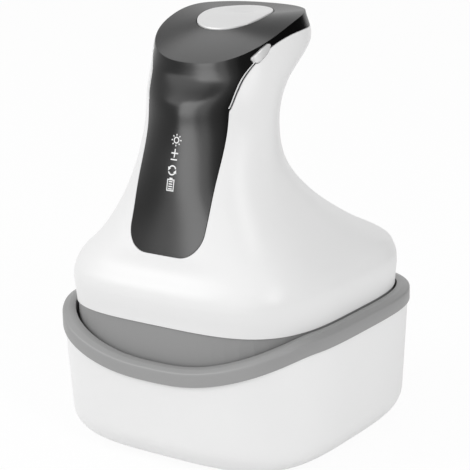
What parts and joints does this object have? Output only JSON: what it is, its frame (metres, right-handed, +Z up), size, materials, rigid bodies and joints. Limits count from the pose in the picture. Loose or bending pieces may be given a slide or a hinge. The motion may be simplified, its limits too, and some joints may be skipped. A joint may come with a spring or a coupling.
{
  "type": "electric scalp massager",
  "caption": "Cordless scalp massager with geared turning heads, press buttons and a glossy front panel, standing in its cup-shaped stand.",
  "frame": {"origin": "middle of the stand's footprint, on the surface it stands on", "axes": "+Z up, -Y towards the glossy front panel, +X to the right seen from the back of the panel's viewer"},
  "size_m": [0.12, 0.12, 0.1676],
  "materials": {
    "white_shell": "satin white moulded plastic",
    "stand_white": "satin white moulded plastic",
    "rim_grey": "satin mid-grey moulded plastic",
    "housing_grey": "satin mid-grey moulded plastic",
    "panel_black": "high gloss black",
    "button_silver": "satin silver-grey plastic",
    "dark_rubber": "matte black rubber",
    "white_rubber": "matte white rubber",
    "head_silicone": "soft dark grey silicone",
    "gear_plastic": "natural acetal",
    "plate_plastic": "light grey moulded plastic",
    "steel": "zinc plated steel",
    "bronze": "sintered bronze",
    "brass": "machined brass",
    "motor_can": "plated steel can",
    "cell_wrap": "shrink wrap film",
    "board_green": "solder mask",
    "led_white": "diffuse lens",
    "switch_black": "moulded plastic"
  },
  "bodies": {
    "stand": {"stand_cup": "stand_white", "stand_rim": "rim_grey", "stand_feet": "dark_rubber"},
    "massager": {"main_shell": "white_shell", "front_panel": "panel_black", "lower_housing": "housing_grey", "seam_gasket": "dark_rubber", "gearbox_plate": "plate_plastic", "case_screws": "steel", "shaft_bushes": "bronze", "shaft_seals": "dark_rubber", "motor_reducer": "motor_can", "motor_can": "motor_can", "motor_clamp": "plate_plastic", "clamp_screws": "steel", "battery_cell": "cell_wrap", "inner_frame": "plate_plastic", "control_board": "board_green", "indicator_lights": "led_white", "top_switch": "switch_black", "side_switches": "switch_black", "charge_board": "board_green", "charge_socket": "steel"},
    "motor_output": {"motor_pinion": "brass"},
    "top_button": {"top_button": "button_silver"},
    "side_button_right": {"side_button_right": "button_silver"},
    "side_button_left": {"side_button_left": "button_silver"},
    "port_flap": {"port_flap": "white_rubber"},
    "head_1": {"head_gear_1": "gear_plastic", "massage_head_1": "head_silicone"},
    "head_2": {"head_gear_2": "gear_plastic", "massage_head_2": "head_silicone"},
    "head_3": {"head_gear_3": "gear_plastic", "massage_head_3": "head_silicone"},
    "head_4": {"head_gear_4": "gear_plastic", "massage_head_4": "head_silicone"}
  },
  "joints": [
    {"name": "lift_off", "type": "slide", "parent": "stand", "child": "massager", "axis": [0, 0, 1], "range_m": [0, 0.09]},
    {"name": "head_1_spin", "type": "hinge", "parent": "massager", "child": "head_1", "pos_m": [-0.024, -0.024, 0.04], "axis": [0, 0, 1], "continuous": true},
    {"name": "head_2_spin", "type": "hinge", "parent": "massager", "child": "head_2", "pos_m": [0.024, -0.024, 0.04], "axis": [0, 0, 1], "continuous": true},
    {"name": "head_3_spin", "type": "hinge", "parent": "massager", "child": "head_3", "pos_m": [0.024, 0.024, 0.04], "axis": [0, 0, 1], "continuous": true},
    {"name": "head_4_spin", "type": "hinge", "parent": "massager", "child": "head_4", "pos_m": [-0.024, 0.024, 0.04], "axis": [0, 0, 1], "continuous": true},
    {"name": "motor_spin", "type": "hinge", "parent": "massager", "child": "motor_output", "pos_m": [-0.0042, -0.0042, 0.05], "axis": [0, 0, 1], "continuous": true},
    {"name": "top_button_press", "type": "slide", "parent": "massager", "child": "top_button", "axis": [0, 0, -1], "range_m": [0, 0.0012], "stiffness_N_per_m": 400, "springref_m": -0.0006},
    {"name": "side_button_right_press", "type": "slide", "parent": "massager", "child": "side_button_right", "axis": [-1, 0, 0], "range_m": [0, 0.0008], "stiffness_N_per_m": 300, "springref_m": -0.0006},
    {"name": "side_button_left_press", "type": "slide", "parent": "massager", "child": "side_button_left", "axis": [1, 0, 0], "range_m": [0, 0.0008], "stiffness_N_per_m": 300, "springref_m": -0.0006},
    {"name": "flap_hinge", "type": "hinge", "parent": "massager", "child": "port_flap", "pos_m": [0, 0.0548, 0.06], "axis": [-1, 0, 0], "range_deg": [0, 95], "stiffness_Nm_per_rad": 0.002, "springref_deg": -17.19}
  ],
  "couplings": [
    {"joint": "head_2_spin", "follows": "head_1_spin", "ratio": -1},
    {"joint": "head_3_spin", "follows": "head_1_spin", "ratio": 1},
    {"joint": "head_4_spin", "follows": "head_1_spin", "ratio": -1},
    {"joint": "motor_spin", "follows": "head_1_spin", "ratio": -2.5}
  ]
}
